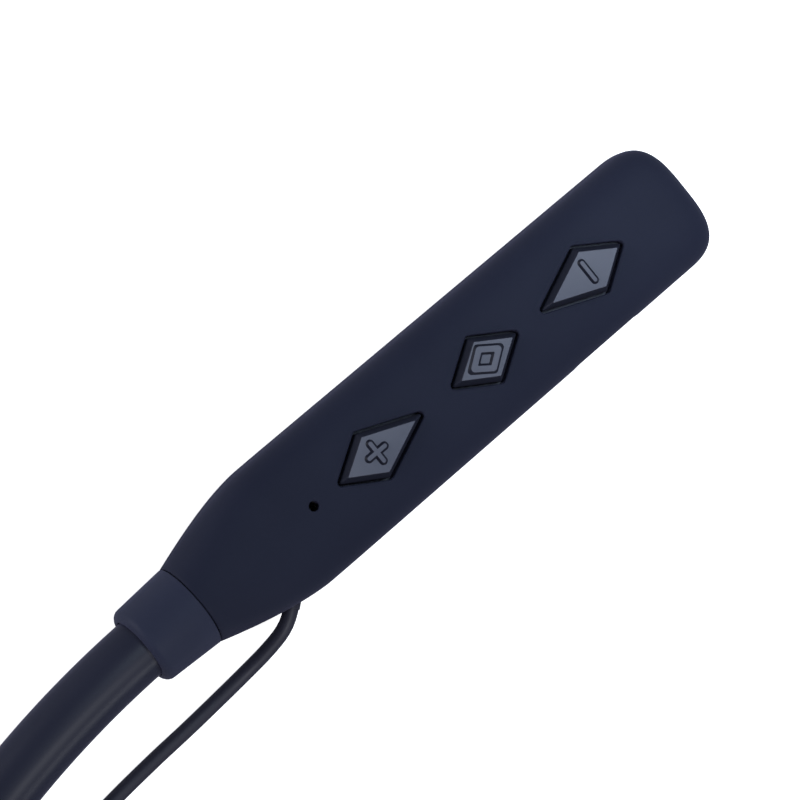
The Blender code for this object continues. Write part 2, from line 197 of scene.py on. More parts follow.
# Camera: where it stands, seen from the seam between the collar and the photographed pod
VIEW = Vector((0.105, 0.2457, 1.0)).normalized()
POD_TURN = radians(40.5)
SEAM_OFFSET = (-24.21, -23.75)
DISTANCE = 1200.0
FRAME_WIDTH = 92.46


def at(side, s, n, z):
    """The place in the row's frame, in metres, of a place on the pod of this side."""
    return Vector((SIDES[side] * (POD_X - n), SEAM_Y - s, z)) * MM


def smooth(t):
    t = min(max(t, 0.0), 1.0)
    return t * t * (3 - 2 * t)


def mixed(a, b, t):
    return a + (b - a) * t


# Camera, floor and lights


def make_camera():
    along = Vector((0, -1, 0))
    along = (along - along.dot(VIEW) * VIEW).normalized()
    across = VIEW.cross(along)
    right = cos(POD_TURN) * along - sin(POD_TURN) * across
    up = sin(POD_TURN) * along + cos(POD_TURN) * across
    seam = at("left", 0, 0, POD_Z)
    middle = seam - (SEAM_OFFSET[0] * right + SEAM_OFFSET[1] * up) * MM
    data = bpy.data.cameras.new("camera")
    data.sensor_width = 36
    data.lens = data.sensor_width * DISTANCE / FRAME_WIDTH
    data.clip_start = 0.01
    data.clip_end = 20
    camera = bpy.data.objects.new("camera", data)
    bpy.context.scene.collection.objects.link(camera)
    turn = Matrix((right, up, VIEW)).transposed().to_4x4()
    camera.matrix_world = Matrix.Translation(middle + VIEW * DISTANCE * MM) @ turn
    bpy.context.scene.camera = camera
    return right, up


def make_floor():
    form = bmesh.new()
    bmesh.ops.create_grid(form, x_segments=1, y_segments=1, size=3.0)
    mesh = bpy.data.meshes.new("floor")
    form.to_mesh(mesh)
    form.free()
    floor = bpy.data.objects.new("floor", mesh)
    bpy.context.scene.collection.objects.link(floor)
    floor.location.z = -0.0002
    look = bpy.data.materials.new("floor_white")
    look.use_nodes = True
    shader = look.node_tree.nodes["Principled BSDF"]
    shader.inputs["Base Color"].default_value = (0.9, 0.9, 0.9, 1)
    shader.inputs["Roughness"].default_value = 0.9
    shader.inputs["Emission Color"].default_value = (1, 1, 1, 1)
    shader.inputs["Emission Strength"].default_value = 0.9
    mesh.materials.append(look)
    floor.visible_glossy = False


def area_light(name, place, target, size, power, color=(1, 1, 1)):
    data = bpy.data.lights.new(name, "AREA")
    data.shape = "RECTANGLE"
    data.size, data.size_y = size
    data.energy = power
    data.color = color
    light = bpy.data.objects.new(name, data)
    bpy.context.scene.collection.objects.link(light)
    light.location = place
    light.rotation_euler = (Vector(place) - Vector(target)).to_track_quat("Z", "Y").to_euler()
    return light


def make_lights(right, up):
    target = at("left", 20, 0, 5)
    low_left = target - right * 0.9 + up * 0.1 + Vector((0, 0, 0.4))
    area_light("key", low_left, target, (0.6, 0.5), 4.6, (0.95, 0.97, 1.0))
    low_right = right * 0.65 - up * 0.76
    aside = target + VIEW * 0.85 + low_right * 0.62
    area_light("overhead", aside, target, (0.3, 0.3), 3.8, (0.94, 0.95, 1.0))
    low = target + VIEW * 0.25 + low_right * 0.75
    area_light("fill", low, target, (0.5, 0.2), 0.7, (0.93, 0.95, 1.0))
    above = at("left", 84, -6, 175)
    area_light("above", above, at("left", 84, -6, 5), (0.05, 0.05), 0.1, (0.75, 0.9, 1.0))
    beyond = at("left", 102, -2, 55)
    area_light("tip", beyond, at("left", 76, 0, 5), (0.04, 0.04), 0.017, (0.78, 0.9, 1.0))
    world = bpy.data.worlds.new("studio")
    bpy.context.scene.world = world
    world.use_nodes = True
    background = world.node_tree.nodes["Background"]
    background.inputs["Color"].default_value = (0.85, 0.88, 1.0, 1)
    background.inputs["Strength"].default_value = 0.15
    bpy.context.scene.view_settings.view_transform = "Standard"


# Materials


def shader_setup(name, roughness, metallic=0.0, specular=0.5):
    look = bpy.data.materials.new(name)
    look.use_nodes = True
    tree = look.node_tree
    shader = tree.nodes["Principled BSDF"]
    shader.inputs["Roughness"].default_value = roughness
    shader.inputs["Metallic"].default_value = metallic
    shader.inputs["Specular IOR Level"].default_value = specular
    return look, tree, shader


def object_noise(tree, scale, detail):
    place = tree.nodes.new("ShaderNodeTexCoord")
    noise = tree.nodes.new("ShaderNodeTexNoise")
    noise.inputs["Scale"].default_value = scale
    noise.inputs["Detail"].default_value = detail
    noise.inputs["Roughness"].default_value = 0.6
    tree.links.new(place.outputs["Object"], noise.inputs["Vector"])
    return noise.outputs["Fac"]


def ramp(tree, fac, low, high, low_at=0.3, high_at=0.7):
    node = tree.nodes.new("ShaderNodeValToRGB")
    stops = node.color_ramp.elements
    stops[0].position = low_at
    stops[0].color = (*low, 1)
    stops[1].position = high_at
    stops[1].color = (*high, 1)
    tree.links.new(fac, node.inputs["Fac"])
    return node.outputs["Color"]


def spread(tree, fac, low, high):
    node = tree.nodes.new("ShaderNodeMapRange")
    node.inputs["To Min"].default_value = low
    node.inputs["To Max"].default_value = high
    tree.links.new(fac, node.inputs["Value"])
    return node.outputs["Result"]


def bump(tree, shader, height, strength, distance):
    node = tree.nodes.new("ShaderNodeBump")
    node.inputs["Strength"].default_value = strength
    node.inputs["Distance"].default_value = distance
    tree.links.new(height, node.inputs["Height"])
    tree.links.new(node.outputs["Normal"], shader.inputs["Normal"])


def grained(name, low, high, roughness, grain_size, depth, specular=0.5, sheen=0.0):
    """A moulded plastic or rubber: slow colour variation, and a fine grain in gloss and relief."""
    look, tree, shader = shader_setup(name, roughness, specular=specular)
    slow = object_noise(tree, BLOTCH_SCALE, 2.0)
    tree.links.new(ramp(tree, slow, low, high), shader.inputs["Base Color"])
    fine = object_noise(tree, 1 / (grain_size * MM), 4.0)
    gloss = spread(tree, fine, roughness - GLOSS_SPREAD, roughness + GLOSS_SPREAD)
    tree.links.new(gloss, shader.inputs["Roughness"])
    bump(tree, shader, fine, 0.5, depth * MM)
    if sheen:
        shader.inputs["Sheen Weight"].default_value = sheen
        shader.inputs["Sheen Roughness"].default_value = 0.45
        shader.inputs["Sheen Tint"].default_value = SHEEN_TINT
    return look


def metal(name, low, high, roughness):
    look, tree, shader = shader_setup(name, roughness, metallic=1.0)
    place = tree.nodes.new("ShaderNodeTexCoord")
    stretch = tree.nodes.new("ShaderNodeMapping")
    stretch.inputs["Scale"].default_value = (1, 1, 12)
    streaks = tree.nodes.new("ShaderNodeTexNoise")
    streaks.inputs["Scale"].default_value = 1500
    tree.links.new(place.outputs["Object"], stretch.inputs["Vector"])
    tree.links.new(stretch.outputs["Vector"], streaks.inputs["Vector"])
    fac = streaks.outputs["Fac"]
    tree.links.new(ramp(tree, fac, low, high), shader.inputs["Base Color"])
    tree.links.new(spread(tree, fac, roughness - 0.08, roughness + 0.1), shader.inputs["Roughness"])
    bump(tree, shader, fac, 0.2, 0.01 * MM)
    return look


def circuit_board(name):
    """Green solder mask with paler tracks on it."""
    look, tree, shader = shader_setup(name, 0.35)
    place = tree.nodes.new("ShaderNodeTexCoord")
    tracks = tree.nodes.new("ShaderNodeTexBrick")
    tracks.inputs["Scale"].default_value = 400
    tracks.inputs["Color1"].default_value = (0.012, 0.09, 0.035, 1)
    tracks.inputs["Color2"].default_value = (0.01, 0.075, 0.03, 1)
    tracks.inputs["Mortar"].default_value = (0.03, 0.16, 0.06, 1)
    tracks.inputs["Mortar Size"].default_value = 0.06
    tree.links.new(place.outputs["Object"], tracks.inputs["Vector"])
    tree.links.new(tracks.outputs["Color"], shader.inputs["Base Color"])
    bump(tree, shader, tracks.outputs["Fac"], 0.3, 0.02 * MM)
    return look


def grille(name):
    """Woven steel mesh over the nozzle: small dark holes in bright metal."""
    look, tree, shader = shader_setup(name, 0.35, metallic=1.0)
    place = tree.nodes.new("ShaderNodeTexCoord")
    cells = tree.nodes.new("ShaderNodeTexVoronoi")
    cells.inputs["Scale"].default_value = 3500
    cells.inputs["Randomness"].default_value = 0.1
    tree.links.new(place.outputs["Object"], cells.inputs["Vector"])
    distance = cells.outputs["Distance"]
    colour = ramp(tree, distance, (0.02, 0.02, 0.02), (0.5, 0.5, 0.52), 0.3, 0.42)
    tree.links.new(colour, shader.inputs["Base Color"])
    bump(tree, shader, distance, 0.6, 0.05 * MM)
    return look


def make_materials():
    dark = {
        "shell": grained(
            "soft_touch", (0.0148, 0.017, 0.032), (0.017, 0.0195, 0.036), 0.55, 0.05, 0.004, 0.05, 0.08
        ),
        # A lighter copy of the soft-touch shell: painted light for the extra light that the collar's
        # curved surface catches
        "collar": grained(
            "collar", (0.0245, 0.028, 0.051), (0.0275, 0.0315, 0.057), 0.5, 0.05, 0.004, 0.08, 0.08
        ),
        # A lighter copy of the soft-touch shell: painted highlight on the rolled edges of the openings
        # and on the microphone's lining
        "shell_painted_highlight": grained(
            "soft_touch_painted_highlight", (0.03, 0.034, 0.055), (0.034, 0.038, 0.06), 0.5, 0.05, 0.004, 0.2
        ),
        "silicone": grained(
            "silicone", (0.0125, 0.0145, 0.03), (0.015, 0.017, 0.034), 0.34, 0.08, 0.004, 0.45, 0.1
        ),
        "button": grained(
            "button", (0.074, 0.08, 0.112), (0.112, 0.118, 0.152), 0.5, 0.1, 0.035, 0.2
        ),
        # A near-black copy: painted shade on the sides of the marks and on the walls of the button wells
        "mark_side_painted_shade": grained(
            "mark_side_painted_shade", (0.006, 0.007, 0.015), (0.008, 0.009, 0.018), 0.5, 0.08, 0.005, 0.2
        ),
        # A darker copy of the button's plastic: painted shade on the sides of the caps
        "button_side_painted_shade": grained(
            "button_side_painted_shade", (0.017, 0.019, 0.032), (0.02, 0.022, 0.036), 0.4, 0.09, 0.01, 0.25
        ),
        "flap": grained("flap", (0.016, 0.018, 0.033), (0.019, 0.021, 0.037), 0.6, 0.08, 0.006, 0.15),
        "cable": grained(
            "cable", (0.018, 0.018, 0.032), (0.023, 0.023, 0.038), 0.5, 0.06, 0.006, 0.35, 0.05
        ),
        "bud": grained("bud", (0.012, 0.013, 0.022), (0.015, 0.016, 0.027), 0.32, 0.06, 0.002),
        "ear_tip": grained("ear_tip", (0.02, 0.021, 0.032), (0.026, 0.027, 0.04), 0.55, 0.1, 0.003),
        "black": grained("black", (0.008, 0.008, 0.009), (0.012, 0.012, 0.013), 0.5, 0.08, 0.005),
        "wrap": grained("foil_wrap", (0.4, 0.42, 0.45), (0.5, 0.52, 0.55), 0.35, 0.4, 0.02),
        "foam": grained("foam", (0.02, 0.02, 0.022), (0.035, 0.035, 0.038), 0.9, 0.3, 0.08),
    }
    return dark | {
        "steel": metal("steel", (0.5, 0.5, 0.5), (0.62, 0.62, 0.62), 0.3),
        "magnet": metal("nickel_plate", (0.55, 0.53, 0.5), (0.66, 0.64, 0.6), 0.2),
        "board": circuit_board("circuit_board"),
        "grille": grille("grille"),
    }


# Mesh helpers


def new_object(name, form, look, sharp=SHARP_ANGLE):
    """An object from a bmesh in metres, shaded smooth except at edges sharper than this."""
    bmesh.ops.recalc_face_normals(form, faces=form.faces)
    mesh = bpy.data.meshes.new(name)
    form.to_mesh(mesh)
    form.free()
    obj = bpy.data.objects.new(name, mesh)
    bpy.context.scene.collection.objects.link(obj)
    mesh.materials.append(MATERIALS[look])
    mesh.shade_smooth()
    mesh.set_sharp_from_angle(angle=radians(sharp))
    return obj


def settle(obj):
    """Applies the object's modifiers and drops its cutters."""
    bpy.context.view_layer.update()
    tools = [m.object for m in obj.modifiers if m.type == "BOOLEAN"]
    graph = bpy.context.evaluated_depsgraph_get()
    mesh = bpy.data.meshes.new_from_object(obj.evaluated_get(graph))
    obj.modifiers.clear()
    obj.data = mesh
    for tool in tools:
        bpy.data.objects.remove(tool, do_unlink=True)
    mesh.shade_smooth()
    mesh.set_sharp_from_angle(angle=radians(SHARP_ANGLE))
    return obj


def boolean(obj, tool):
    """Cuts the tool out of the object once settle() is called."""
    change = obj.modifiers.new(tool.name, "BOOLEAN")
    change.object = tool
    change.operation = "DIFFERENCE"
    change.solver = "EXACT"
    tool.hide_render = True


def join(obj, *others):
    """Adds the other objects' meshes to this one's."""
    form = bmesh.new()
    form.from_mesh(obj.data)
    for other in others:
        form.from_mesh(other.data)
        bpy.data.objects.remove(other, do_unlink=True)
    form.to_mesh(obj.data)
    form.free()
    return obj


def loft(form, rows, around=True, caps=(False, False), wrap=False):
    """Faces over rows of equally many places. around closes each row, and wrap joins last to first."""
    rings = [[form.verts.new(place) for place in row] for row in rows]
    count = len(rings[0])
    pairs = list(zip(rings, rings[1:]))
    if wrap:
        pairs.append((rings[-1], rings[0]))
    for low, high in pairs:
        for i in range(count if around else count - 1):
            j = (i + 1) % count
            form.faces.new((low[i], low[j], high[j], high[i]))
    if caps[0]:
        form.faces.new(rings[0])
    if caps[1]:
        form.faces.new(rings[-1])


def soften(corners, closed=True, steps=6):
    """A line through (x, y, radius) corners, with an arc at each corner that has a radius."""
    line = []
    for i, (x, y, radius) in enumerate(corners):
        here = Vector((x, y))
        if not radius or (not closed and i in (0, len(corners) - 1)):
            line.append(here)
            continue
        before = (Vector(corners[i - 1][:2]) - here).normalized()
        after = (Vector(corners[(i + 1) % len(corners)][:2]) - here).normalized()
        half = before.angle(after) / 2
        centre = here + (before + after).normalized() * radius / sin(half)
        start = here + before * radius / tan(half) - centre
        left_turn = before.x * after.y - before.y * after.x < 0
        sweep = (pi - 2 * half) * (1 if left_turn else -1)
        first = atan2(start.y, start.x)
        for k in range(steps + 1):
            angle = first + sweep * k / steps
            line.append(centre + radius * Vector((cos(angle), sin(angle))))
    return line


def grown(corners, distance):
    """A convex outline of (x, y) corners, counter-clockwise, with each side moved out."""
    moved = []
    count = len(corners)
    for i in range(count):
        before, here, after = (Vector(corners[(i + k) % count]) for k in (-1, 0, 1))
        into = (here - before).normalized()
        out = (after - here).normalized()
        into_side = Vector((into.y, -into.x))
        out_side = Vector((out.y, -out.x))
        middle = (into_side + out_side).normalized()
        moved.append(here + middle * distance / middle.dot(into_side))
    return moved


def rounded(corners, distance, radius, steps=6):
    return soften([(*corner, radius) for corner in grown(corners, distance)], steps=steps)


def turned(name, look, profile, matrix, steps=72, ring=False):
    """A profile of (radius, height) places turned about the local Z axis. ring joins last to first."""
    form = bmesh.new()
    rows = []
    for r, z in profile:
        if r < 1e-6:
            rows.append([form.verts.new(matrix @ Vector((0, 0, z * MM)))])
            continue
        row = []
        for i in range(steps):
            angle = 2 * pi * i / steps
            row.append(form.verts.new(matrix @ (Vector((r * cos(angle), r * sin(angle), z)) * MM)))
        rows.append(row)
    pairs = list(zip(rows, rows[1:]))
    if ring:
        pairs.append((rows[-1], rows[0]))
    for low, high in pairs:
        for i in range(steps):
            j = (i + 1) % steps
            corners = [low[i % len(low)], low[j % len(low)], high[j % len(high)], high[i % len(high)]]
            corners = list(dict.fromkeys(corners))
            if len(corners) > 2:
                form.faces.new(corners)
    return new_object(name, form, look)


def pipe(name, look, path, radius, bore=0.0, sides=48):
    """A round tube along a path less its two ends, closed, and hollow where it has a bore."""
    form = bmesh.new()
    outer, inner = [], []
    up = Vector((0, 0, 1))
    for before, here, after in zip(path, path[1:], path[2:]):
        along = (after - before).normalized()
        side = along.cross(up).normalized()
        over = side.cross(along)
        angles = [2 * pi * k / sides for k in range(sides)]
        outer.append([here + radius * MM * (cos(a) * side + sin(a) * over) for a in angles])
        inner.append([here + bore * MM * (cos(a) * side + sin(a) * over) for a in angles])
    if bore:
        loft(form, outer + inner[::-1], wrap=True)
    else:
        loft(form, outer, caps=(True, True))
    return new_object(name, form, look)


def place_piece(piece, body, slot, *nodes):
    """The piece rides on a body and stands for CAD nodes, which it hides. Its slot is not used."""
    if nodes:
        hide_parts(*nodes)
    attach(piece, body)
    return piece


# Neck band


def band_point(angle, out=0.0):
    """A place on the band's centre line, or this far outside it. Past the ends it runs straight."""
    turn = min(max(angle, 0.0), pi)
    x = POD_X * cos(turn)
    y = ARC_Y + ARC_DEPTH * (sin(turn) + min(angle, 0.0))
    normal = Vector((ARC_DEPTH * cos(turn), POD_X * sin(turn))).normalized()
    z = mixed(POD_Z, NECK_Z, smooth(min(turn, pi - turn) / FLEX_ANGLE))
    return Vector((x + out * normal.x, y + out * normal.y, z)) * MM


def make_band():
    layers = [
        ("sleeve", "silicone", "band_silicone", 0.0, -1.0, SLEEVE_R, SLEEVE_BORE_R, 48),
        ("core_wire", "steel", "steel", WIRE_OUT, 6.0, WIRE_R, 0.0, 16),
        ("harness", "cable", "cable_jacket", HARNESS_OUT, 11.5, HARNESS_R, 0.0, 16),
    ]
    flip = Matrix.Scale(-1, 4, (1, 0, 0))
    for layer, look, slot, out, reach_s, radius, bore, sides in layers:
        start = -(reach_s - ARC_START_S) / ARC_DEPTH
        half = [band_point(mixed(start, pi / 2, i / 110), out) for i in range(-1, 112)]
        for side, mirror in (("left", Matrix.Identity(4)), ("right", flip)):
            path = [mirror @ place for place in half]
            piece = pipe(f"{layer}_{side}_half", look, path, radius, bore, sides)
            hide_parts(f"{layer}_{side}", f"{layer}_neck")
            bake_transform(piece)


# Pods


def half_width(s):
    if s <= SHOULDER_S:
        return mixed(SEAM_R, POD_W, 1 - (1 - max(s, 0) / SHOULDER_S) ** 1.55)
    return mixed(POD_W, TIP_W, max(s - TAPER_S, 0) / (TIP_S - TAPER_S))


def heights(s):
    """How far the pod reaches above and below its parting plane."""
    opening = smooth(s / SHOULDER_S)
    fall = (TIP_TOP_H - TOP_H) * max(s - SHOULDER_S, 0) / (TIP_S - SHOULDER_S)
    return mixed(SEAM_R, TOP_H, opening) + fall, mixed(SEAM_R, BOTTOM_H, opening)


def power_at(s):
    return mixed(2.0, 3.4, smooth(s / SHOULDER_S))


def top_z(s, n):
    """The height of the pod's top surface."""
    power = power_at(s)
    rise = max(1 - (abs(n) / half_width(s)) ** power, 0) ** (1 / power)
    return POD_Z + heights(s)[0] * rise


def side_n(s, z):
    """How far the pod's side is from its axis at this height."""
    power = power_at(s)
    tall = heights(s)[0 if z > POD_Z else 1]
    return half_width(s) * (1 - (abs(z - POD_Z) / tall) ** power) ** (1 / power)


def pod_section(side, s, up, shrink, inset):
    wide = half_width(min(s, TIP_S)) * shrink - inset
    tall = heights(min(s, TIP_S))[0 if up > 0 else 1] * shrink - inset
    power = power_at(s)
    half_gap = PARTING_GAP / 2 * min(1, shrink * 4)
    points = []
    for i in range(65):
        turn = pi * i / 64
        across = abs(cos(turn)) ** (2 / power) * (1 if turn < pi / 2 else -1)
        rise = abs(sin(turn)) ** (2 / power)
        z = POD_Z + up * (half_gap + rise * (tall - half_gap))
        points.append(at(side, s, wide * across, max(z, 0.0)))
    return points


def pod_shell(side, which, up):
    stations = [(0, 1.0, SEAM_GAP), (0.04, 1.0, 0.05), (0.12, 1.0, 0.0)]
    stations += [(0.6 * i, 1.0, 0.0) for i in range(1, 25)]
    stations += [(15.5 + 1.5 * i, 1.0, 0.0) for i in range(37)]
    for i in range(1, 24):
        t = sin(pi / 2 * i / 24)
        stations.append((TIP_S + (POD_LENGTH - TIP_S) * t, (1 - t**TIP_POWER) ** (1 / TIP_POWER), 0.0))
    stations.append((POD_LENGTH, 0.05, 0.0))
    form = bmesh.new()
    rows = [pod_section(side, s, up, shrink, inset) for s, shrink, inset in stations]
    loft(form, rows, around=False, caps=(False, True))
    shell = new_object(f"{side}_{which}_cover", form, "shell")
    middle = shell.data.polygons[len(shell.data.polygons) // 2 - 32]
    if (middle.normal.z > 0) != (up > 0):
        shell.data.flip_normals()
    wall = shell.modifiers.new("wall", "SOLIDIFY")
    wall.thickness = WALL * MM
    wall.offset = -1
    return shell


def kite(name):
    rear, widest, front = OPENINGS[name]
    return [(rear, 0), (widest, -OPENING_HALF_W), (front, 0), (widest, OPENING_HALF_W)]


def kite_line(name, distance):
    """The opening's outline with each side moved out, and its corners rounded to match."""
    return rounded(kite(name), distance, max(0.5 + distance, 0.12), steps=8)


def opening_cutter(name):
    form = bmesh.new()
    line = kite_line(name, RIM + 0.1)
    rows = [[at("left", s, n, z) for s, n in line] for z in (7.5, 12.5)]
    loft(form, rows, caps=(True, True))
    return new_object(f"{name}_cutter", form, "shell")


def well_rim(name):
    """The rolled edge of a button's opening and the wall that goes down from it."""
    rows = []
    levels = [(RIM + 0.3, -0.05), (RIM + 0.12, 0.003), (RIM + 0.03, 0.002)]
    for i in range(7):
        angle = pi / 2 * i / 6
        levels.append((RIM * (1 - sin(angle)), -RIM * (1 - cos(angle))))
    levels += [(0.0, -1.9), (RIM + 0.3, -1.9)]
    for distance, drop in levels:
        line = kite_line(name, distance)
        rows.append([at("left", s, n, top_z(s, n) + drop) for s, n in line])
    form = bmesh.new()
    loft(form, rows, wrap=True)
    rim = new_object(f"{name}_rim", form, "shell")
    rim.data.materials.append(MATERIALS["shell_painted_highlight"])
    rim.data.materials.append(MATERIALS["mark_side_painted_shade"])
    # Painted shade on the wall going down, and a painted highlight on the small rolled faces
    for face in rim.data.polygons:
        if face.normal.z < WALL_NORMAL_Z:
            face.material_index = 2
        elif face.area < ROLLED_FACE_AREA:
            face.material_index = 1
    return rim


def mic_rim(top):
    """The lining of the microphone's hole, with its edge just over the shell's surface."""
    corners = [
        (MIC_R, 0.01, 0.1),
        (MIC_RIM_R, 0.004, 0.02),
        (MIC_RIM_R, -0.15, 0),
        (0.8, -1.1, 0),
        (MIC_R, -1.1, 0),
    ]
    # The whole lining takes the lighter shell copy as a painted highlight
    return turned("mic_rim", "shell_painted_highlight", soften(corners), Matrix.Translation(top), steps=48, ring=True)


def slot_line(length, height, radius, inset=0.0):
    """A rounded rectangle of (s, z) places about the port, with its sides moved in."""
    half_l, half_h = length / 2, height / 2
    corners = [(-half_l, -half_h), (half_l, -half_h), (half_l, half_h), (-half_l, half_h)]
    line = rounded(corners, -inset, max(radius - inset, 0.02))
    return [(PORT_S + x, POD_Z + y) for x, y in line]


def port_cutter():
    form = bmesh.new()
    line = slot_line(FLAP_LENGTH + 0.3, FLAP_HEIGHT + 0.3, 1.0)
    rows = [[at("left", s, n, z) for s, z in line] for n in (5.5, 11)]
    loft(form, rows, caps=(True, True))
    return new_object("port_cutter", form, "shell")


def hole_cutter(name, start, end, radius):
    along = end - start
    matrix = along.to_track_quat("Z", "Y").to_matrix().to_4x4()
    matrix.translation = start
    length = along.length / MM
    profile = [(0, 0), (radius, 0), (radius, length), (0, length)]
    return turned(name, "shell", profile, matrix, steps=32)


def lead_hole(side):
    """The hole that the lead leaves by."""
    outer = at(side, 8.2, 8.9, 4.3)
    inner = at(side, 11.5, 6.0, 4.5)
    return hole_cutter(f"{side}_lead_hole", outer, inner, LEAD_HOLE_R)


def make_grommet(side):
    """A soft sleeve round the lead, in the pod's wall."""
    outer = at(side, 9.2, 7.95, 4.35)
    inner = at(side, 11.5, 6.0, 4.5)
    matrix = (inner - outer).to_track_quat("Z", "Y").to_matrix().to_4x4()
    matrix.translation = outer
    corners = [
        (LEAD_R, 0, 0.05),
        (GROMMET_R, 0, 0.1),
        (GROMMET_R, 1.4, 0),
        (GROMMET_FLANGE_R, 1.4, 0.1),
        (GROMMET_FLANGE_R, 2.2, 0.1),
        (LEAD_R, 2.2, 0),
    ]
    piece = turned(f"{side}_grommet", "cable", soften(corners), matrix, steps=40, ring=True)
    place_piece(piece, f"{side}_arm", "cable_jacket", f"{side}_lead_gland")


def make_pods():
    for side in SIDES:
        upper = pod_shell(side, "upper", 1)
        lower = pod_shell(side, "lower", -1)
        rims = []
        if side == "left":
            for name in OPENINGS:
                boolean(upper, opening_cutter(name))
                rims.append(well_rim(name))
            mic_top = at(side, MIC_S, 0, top_z(MIC_S, 0))
            above = mic_top + Vector((0, 0, MM))
            boolean(upper, hole_cutter("mic", at(side, MIC_S, 0, 8), above, MIC_R + 0.13))
            rims.append(mic_rim(mic_top))
            boolean(upper, port_cutter())
            boolean(lower, port_cutter())
        boolean(upper, lead_hole(side))
        boolean(lower, lead_hole(side))
        join(settle(upper), *rims)
        settle(lower)
        place_piece(upper, f"{side}_arm", "soft_touch_shell", f"{side}_upper_shell")
        place_piece(lower, f"{side}_arm", "soft_touch_shell", f"{side}_lower_shell")
        make_collar(side)
        make_grommet(side)


def make_collar(side):
    """The collar round the band's end, with a spigot that closes the pod's end behind the seam."""
    matrix = Matrix.Translation(at(side, 0, 0, POD_Z)) @ Matrix.Rotation(radians(-90), 4, "X")
    bore = SLEEVE_R + 0.08
    corners = [
        (bore, COLLAR_LENGTH, 0.1),
        (COLLAR_END_R, COLLAR_LENGTH, 1.05),
        (SEAM_R, SEAM_GAP, 0.1),
        (SPIGOT_R, SEAM_GAP, 0),
        (SPIGOT_R, -SPIGOT_LENGTH, 0.1),
        (SPIGOT_BORE_R, -SPIGOT_LENGTH, 0.1),
        (SPIGOT_BORE_R, BAND_SEAT, 0),
        (bore, BAND_SEAT, 0),
    ]
    piece = turned(f"{side}_ferrule", "collar", soften(corners), matrix, steps=96, ring=True)
    place_piece(piece, f"{side}_arm", "soft_touch_shell", f"{side}_collar")


# Buttons


def raised_mark(name, line_at, base_z):
    """A solid mark with sloping sides. line_at(inset) gives its outline."""
    rows = []
    for inset, z in MARK_LEVELS:
        rows.append([at("left", s, n + MARK_N, base_z + z) for s, n in line_at(inset)])
    form = bmesh.new()
    loft(form, rows, caps=(True, True))
    return new_object(name, form, "button", CAP_SHARP_ANGLE)


def bar_line(s, length, width, across):
    """The outline of a bar with round ends, along n if across, or else along s."""

    def line_at(inset):
        radius = width / 2 - inset
        points = []
        for end, first in ((1, -pi / 2), (-1, pi / 2)):
            for i in range(11):
                angle = first + pi * i / 10
                along = end * length / 2 + radius * cos(angle)
                aside = radius * sin(angle)
                points.append((s - aside, along) if across else (s + along, aside))
        return points

    return line_at


def ring_mark(name, s, base_z):
    """A raised rhombus ring."""
    outer = [(s - 2.6, 0), (s, -1.85), (s + 2.6, 0), (s, 1.85)]
    inner = [(s - 1.3, 0), (s, -0.93), (s + 1.3, 0), (s, 0.93)]
    rows = []
    for inset, z in MARK_LEVELS:
        line = rounded(outer, -inset, 0.45)
        rows.append([at("left", u, n + MARK_N, base_z + z) for u, n in line])
    for inset, z in reversed(MARK_LEVELS):
        line = rounded(inner, inset, 0.1)
        rows.append([at("left", u, n + MARK_N, base_z + z) for u, n in line])
    form = bmesh.new()
    loft(form, rows, wrap=True)
    return new_object(name, form, "button", CAP_SHARP_ANGLE)


def paint_shade_on_sides(piece, number):
    """The sides of a piece take the material with this number, a darker copy that paints shade on them,
    and its upward faces keep the first.
    """
    for face in piece.data.polygons:
        face.material_index = 0 if face.normal.z > UPWARD else number


def make_buttons():
    for name, (_, widest, _) in OPENINGS.items():
        surface = top_z(widest, 0)
        top = BUTTON_TOP_Z
        levels = [
            (FLANGE_REACH, FLANGE_LOW_Z),
            (FLANGE_REACH, FLANGE_TOP_Z),
            (-CAP_GAP, FLANGE_TOP_Z),
            (-CAP_GAP, surface - 0.5),
            (-CAP_GAP - 0.05, surface - 0.25),
        ]
        for i in range(5):
            angle = pi / 2 * i / 4
            inset = CAP_INSET + CAP_EDGE_R * (1 - cos(angle))
            levels.append((-inset, top - CAP_EDGE_R * (1 - sin(angle))))
        rows = []
        for distance, z in levels:
            rows.append([at("left", s, n, z) for s, n in kite_line(name, distance)])
        form = bmesh.new()
        loft(form, rows, caps=(True, True))
        cap = new_object(f"{name}_cap", form, "button", CAP_SHARP_ANGLE)
        marks = []
        if name == "minus":
            marks.append(raised_mark("bar", bar_line(60.5, 2.5, 0.5, True), top))
        elif name == "plus":
            marks.append(raised_mark("arm_a", bar_line(27.2, 2.5, 0.55, True), top))
            marks.append(raised_mark("arm_b", bar_line(27.2, 2.4, 0.55, False), top + 0.004))
        else:
            marks.append(ring_mark("rhombus", 44.33, top))
        # Painted shade: the caps' sides take a darker copy, and the marks' sides a near-black one
        cap.data.materials.append(MATERIALS["button_side_painted_shade"])
        cap.data.materials.append(MATERIALS["mark_side_painted_shade"])
        paint_shade_on_sides(cap, 1)
        for mark in marks:
            paint_shade_on_sides(mark, 2)
        join(cap, *marks)
        place_piece(cap, f"{name}_key", "button_cap", f"{name}_button")


# Charging-port cover


